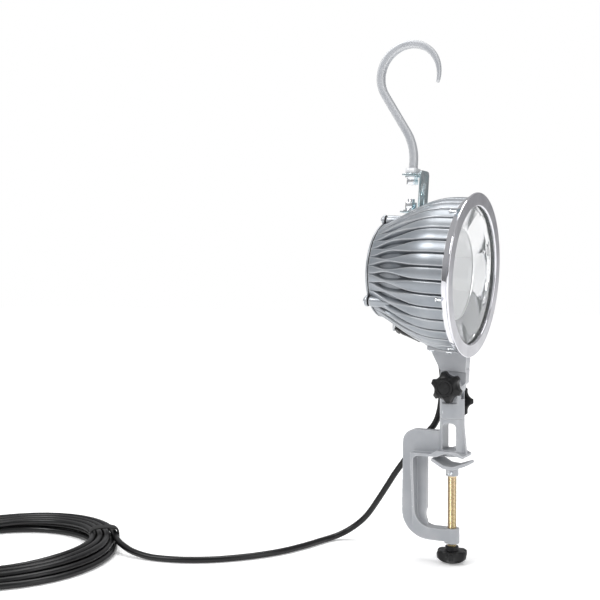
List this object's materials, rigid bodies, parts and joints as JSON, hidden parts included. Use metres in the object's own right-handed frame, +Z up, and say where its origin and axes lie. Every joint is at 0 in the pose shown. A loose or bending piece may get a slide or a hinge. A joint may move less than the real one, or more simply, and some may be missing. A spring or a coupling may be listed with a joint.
{
  "type": "clamp-on floodlight",
  "caption": "Portable cast floodlight with a finned round body on a screw C clamp, with pan and tilt locked by star knobs, a swivelling hanging hook and a coiled mains cord",
  "frame": {"origin": "On the pan axis, at the height of the clamp's fixed-jaw seat, where the bench top bears", "axes": "+X is the way the lamp faces, +Z up along the pan axis, -Y the side with the tilt knob. The lamp is stored pointing 3.6 degrees down, as pictured"},
  "size_m": [0.6515, 0.4465, 0.5897],
  "materials": {
    "cast_grey": "silver-grey sprayed casting, satin",
    "die_cast": "die-cast aluminium, matt silver",
    "zinc": "bright zinc plate",
    "yellow_zinc": "yellow zinc plate",
    "knob_black": "fine-grained matt black",
    "cord_rubber": "matt black rubber",
    "seal": "matt black rubber",
    "ring_chrome": "polished",
    "clear_glass": "clear, polished",
    "reflector_bright": "bright anodised, faceted",
    "cup_white": "white, satin",
    "lamp_glass": "frosted",
    "ceramic": "ceramic, matt",
    "board": "green board with parts",
    "terminal": "pale plastic",
    "pins": "plain"
  },
  "bodies": {
    "clamp": {"clamp_frame": "cast_grey", "cord_lower": "cord_rubber", "cord_coil": "cord_rubber", "cord_tie": "seal", "cord_tail": "cord_rubber", "plug_body": "cord_rubber", "plug_boot": "cord_rubber", "plug_pins": "pins"},
    "jaw": {"saddle_jaw": "cast_grey", "saddle_screw": "zinc"},
    "clamp_screw": {"clamp_screw": "yellow_zinc", "clamp_knob": "knob_black", "clamp_knob_cap": "knob_black"},
    "collar": {"pan_collar": "cast_grey", "tilt_bolt": "zinc", "tilt_washers": "zinc", "cord_upper": "cord_rubber"},
    "pan_knob": {"pan_knob": "knob_black", "pan_knob_cap": "knob_black", "pan_stud": "zinc"},
    "tilt_knob": {"tilt_knob": "knob_black", "tilt_knob_cap": "knob_black"},
    "head": {"support_leg": "die_cast", "leg_screws": "zinc", "housing": "die_cast", "rear_cover": "die_cast", "rear_gasket": "seal", "rear_cover_screws": "zinc", "front_ring": "ring_chrome", "ring_screws": "zinc", "front_glass": "clear_glass", "glass_gasket": "seal", "reflector": "reflector_bright", "reflector_cup": "cup_white", "lamp_bulb": "lamp_glass", "lamp_base": "ceramic", "lampholder": "ceramic", "holder_bracket": "zinc", "driver_board": "board", "terminal_block": "terminal", "cord_gland": "knob_black", "cord_boot": "cord_rubber", "hook_bracket": "zinc", "bracket_bolt": "zinc", "bracket_washers": "zinc"},
    "hook": {"hook": "cast_grey", "hook_bolt": "zinc", "hook_washers": "zinc"}
  },
  "joints": [
    {"name": "jaw_feed", "type": "slide", "parent": "clamp", "child": "jaw", "axis": [0, 0, 1], "range_m": [-0.054, 0]},
    {"name": "screw_turn", "type": "hinge", "parent": "jaw", "child": "clamp_screw", "pos_m": [0, 0, -0.06], "axis": [0, 0, 1], "range_deg": [-12962, 2]},
    {"name": "pan", "type": "hinge", "parent": "clamp", "child": "collar", "pos_m": [0, 0, 0.06], "axis": [0, 0, 1], "range_deg": [-170, 170], "deforming": ["cord_lower"]},
    {"name": "tilt", "type": "hinge", "parent": "collar", "child": "head", "pos_m": [0, 0, 0.079], "axis": [0, 1, 0], "range_deg": [-75, 10], "deforming": ["cord_upper"]},
    {"name": "pan_knob_turn", "type": "hinge", "parent": "collar", "child": "pan_knob", "pos_m": [0, 0.018, 0.06], "axis": [0, 1, 0], "continuous": true},
    {"name": "tilt_knob_turn", "type": "hinge", "parent": "collar", "child": "tilt_knob", "pos_m": [0, -0.02, 0.079], "axis": [0, 1, 0], "continuous": true},
    {"name": "hook_swivel", "type": "hinge", "parent": "head", "child": "hook", "pos_m": [-0.04731, 0, 0.32245], "axis": [0.0628, 0, 0.998], "continuous": true}
  ],
  "couplings": [
    {"joint": "screw_turn", "follows": "jaw_feed", "rad_per_m": 4188.8}
  ]
}
